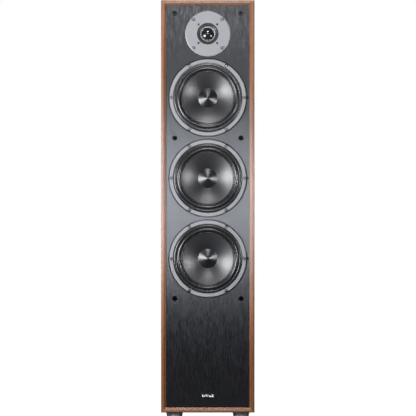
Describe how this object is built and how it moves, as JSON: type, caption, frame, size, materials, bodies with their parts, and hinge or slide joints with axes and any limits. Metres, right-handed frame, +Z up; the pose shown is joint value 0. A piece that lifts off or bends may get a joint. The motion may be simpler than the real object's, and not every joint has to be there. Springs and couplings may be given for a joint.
{
  "type": "floorstanding speaker",
  "caption": "Tall floorstanding loudspeaker: walnut-grain cabinet, recessed black baffle with silver-ringed cone woofers below a dome tweeter, rear port and binding posts.",
  "frame": {"origin": "on the floor, under the middle of the cabinet's footprint", "axes": "+Z up, -Y the way the drivers face, +X to the right of someone looking at the front"},
  "size_m": [0.207, 0.3, 0.933],
  "materials": {
    "walnut_wrap": "satin walnut-grain foil on board",
    "black_ash": "semi-gloss black ash-grain foil on board",
    "back_board": "matt black foil on board",
    "bare_board": "bare fibreboard",
    "wool": "lofted polyester wool",
    "black_plastic": "fine-grained moulded plastic",
    "silver_trim": "satin silver-grey",
    "badge_metal": "brushed, with dark bars",
    "foot_metal": "satin turned metal",
    "foot_rubber": "matt",
    "plain_steel": "zinc-plated",
    "black_steel": "black-plated screws",
    "bright_steel": "bright-plated screws",
    "basket_coat": "black powder coat",
    "surround_rubber": "smooth satin rubber",
    "cone_paper": "coated pulp, fine felted texture",
    "cap_gloss": "glossy black",
    "coil_copper": "enamelled copper wire",
    "spider_cloth": "resin-dipped cloth",
    "ferrite": "sintered ferrite",
    "tag_board": "laminate board",
    "dome_silk": "coated silk, soft gloss",
    "capacitor_film": "yellow wrapped film",
    "resistor_cement": "white cement",
    "gilt": "gold-plated brass",
    "cap_red": "clear red over brass",
    "cap_black": "black",
    "wire_jacket": "soft twin-lead jacket"
  },
  "bodies": {
    "cabinet": {"back_panel": "back_board", "badge_plate": "badge_metal", "basket_lower": "basket_coat", "basket_middle": "basket_coat", "basket_upper": "basket_coat", "binding_posts": "gilt", "bottom_panel": "walnut_wrap", "crossover_board": "tag_board", "crossover_capacitors": "capacitor_film", "crossover_inductors": "coil_copper", "crossover_resistors": "resistor_cement", "damping_wool": "wool", "foot_bodies": "foot_metal", "foot_pads": "foot_rubber", "foot_screws": "plain_steel", "front_baffle": "black_ash", "grille_sockets": "black_plastic", "internal_wiring": "wire_jacket", "port_tube": "black_plastic", "side_panel_left": "walnut_wrap", "side_panel_right": "walnut_wrap", "small_wood_screws": "black_steel", "terminal_cup": "black_plastic", "top_panel": "walnut_wrap", "trim_ring_lower": "silver_trim", "trim_ring_middle": "silver_trim", "trim_ring_upper": "silver_trim", "tweeter_faceplate": "silver_trim", "tweeter_magnet": "ferrite", "tweeter_motor_screws": "black_steel", "tweeter_mouth": "black_plastic", "tweeter_top_plate": "plain_steel", "tweeter_yoke": "plain_steel", "window_braces": "bare_board", "woofer_magnets": "ferrite", "woofer_screws": "bright_steel", "woofer_terminals": "tag_board", "woofer_top_plates": "plain_steel", "woofer_yokes": "plain_steel"},
    "woofer_upper_cone": {"cone_upper": "cone_paper", "dust_cap_upper": "cap_gloss", "voice_coil_upper": "coil_copper", "surround_upper": "surround_rubber", "spider_upper": "spider_cloth"},
    "woofer_middle_cone": {"cone_middle": "cone_paper", "dust_cap_middle": "cap_gloss", "voice_coil_middle": "coil_copper", "surround_middle": "surround_rubber", "spider_middle": "spider_cloth"},
    "woofer_lower_cone": {"cone_lower": "cone_paper", "dust_cap_lower": "cap_gloss", "voice_coil_lower": "coil_copper", "surround_lower": "surround_rubber", "spider_lower": "spider_cloth"},
    "tweeter_dome": {"tweeter_diaphragm": "dome_silk", "tweeter_voice_coil": "coil_copper"},
    "post_clamp_red": {"post_washer_red": "gilt"},
    "post_knob_red": {"post_cap_red": "cap_red"},
    "post_clamp_black": {"post_washer_black": "gilt"},
    "post_knob_black": {"post_cap_black": "cap_black"}
  },
  "joints": [
    {"name": "woofer_upper_travel", "type": "slide", "parent": "cabinet", "child": "woofer_upper_cone", "axis": [0, -1, 0], "range_m": [-0.006, 0.006], "stiffness_N_per_m": 1200, "deforming": ["surround_upper", "spider_upper"]},
    {"name": "woofer_middle_travel", "type": "slide", "parent": "cabinet", "child": "woofer_middle_cone", "axis": [0, -1, 0], "range_m": [-0.006, 0.006], "stiffness_N_per_m": 1200, "deforming": ["surround_middle", "spider_middle"]},
    {"name": "woofer_lower_travel", "type": "slide", "parent": "cabinet", "child": "woofer_lower_cone", "axis": [0, -1, 0], "range_m": [-0.006, 0.006], "stiffness_N_per_m": 1200, "deforming": ["surround_lower", "spider_lower"]},
    {"name": "tweeter_travel", "type": "slide", "parent": "cabinet", "child": "tweeter_dome", "axis": [0, -1, 0], "range_m": [-0.0004, 0.0004], "stiffness_N_per_m": 400, "deforming": ["tweeter_diaphragm"]},
    {"name": "post_red_lift", "type": "slide", "parent": "cabinet", "child": "post_clamp_red", "axis": [0, 1, 0], "range_m": [0, 0.005]},
    {"name": "post_red_turn", "type": "hinge", "parent": "post_clamp_red", "child": "post_knob_red", "pos_m": [-0.018, 0.13, 0.122], "axis": [0, 1, 0], "range_deg": [0, 1440]},
    {"name": "post_black_lift", "type": "slide", "parent": "cabinet", "child": "post_clamp_black", "axis": [0, 1, 0], "range_m": [0, 0.005]},
    {"name": "post_black_turn", "type": "hinge", "parent": "post_clamp_black", "child": "post_knob_black", "pos_m": [0.018, 0.13, 0.122], "axis": [0, 1, 0], "range_deg": [0, 1440]}
  ],
  "couplings": [
    {"joint": "post_red_turn", "follows": "post_red_lift", "rad_per_m": 5026.5},
    {"joint": "post_black_turn", "follows": "post_black_lift", "rad_per_m": 5026.5}
  ]
}
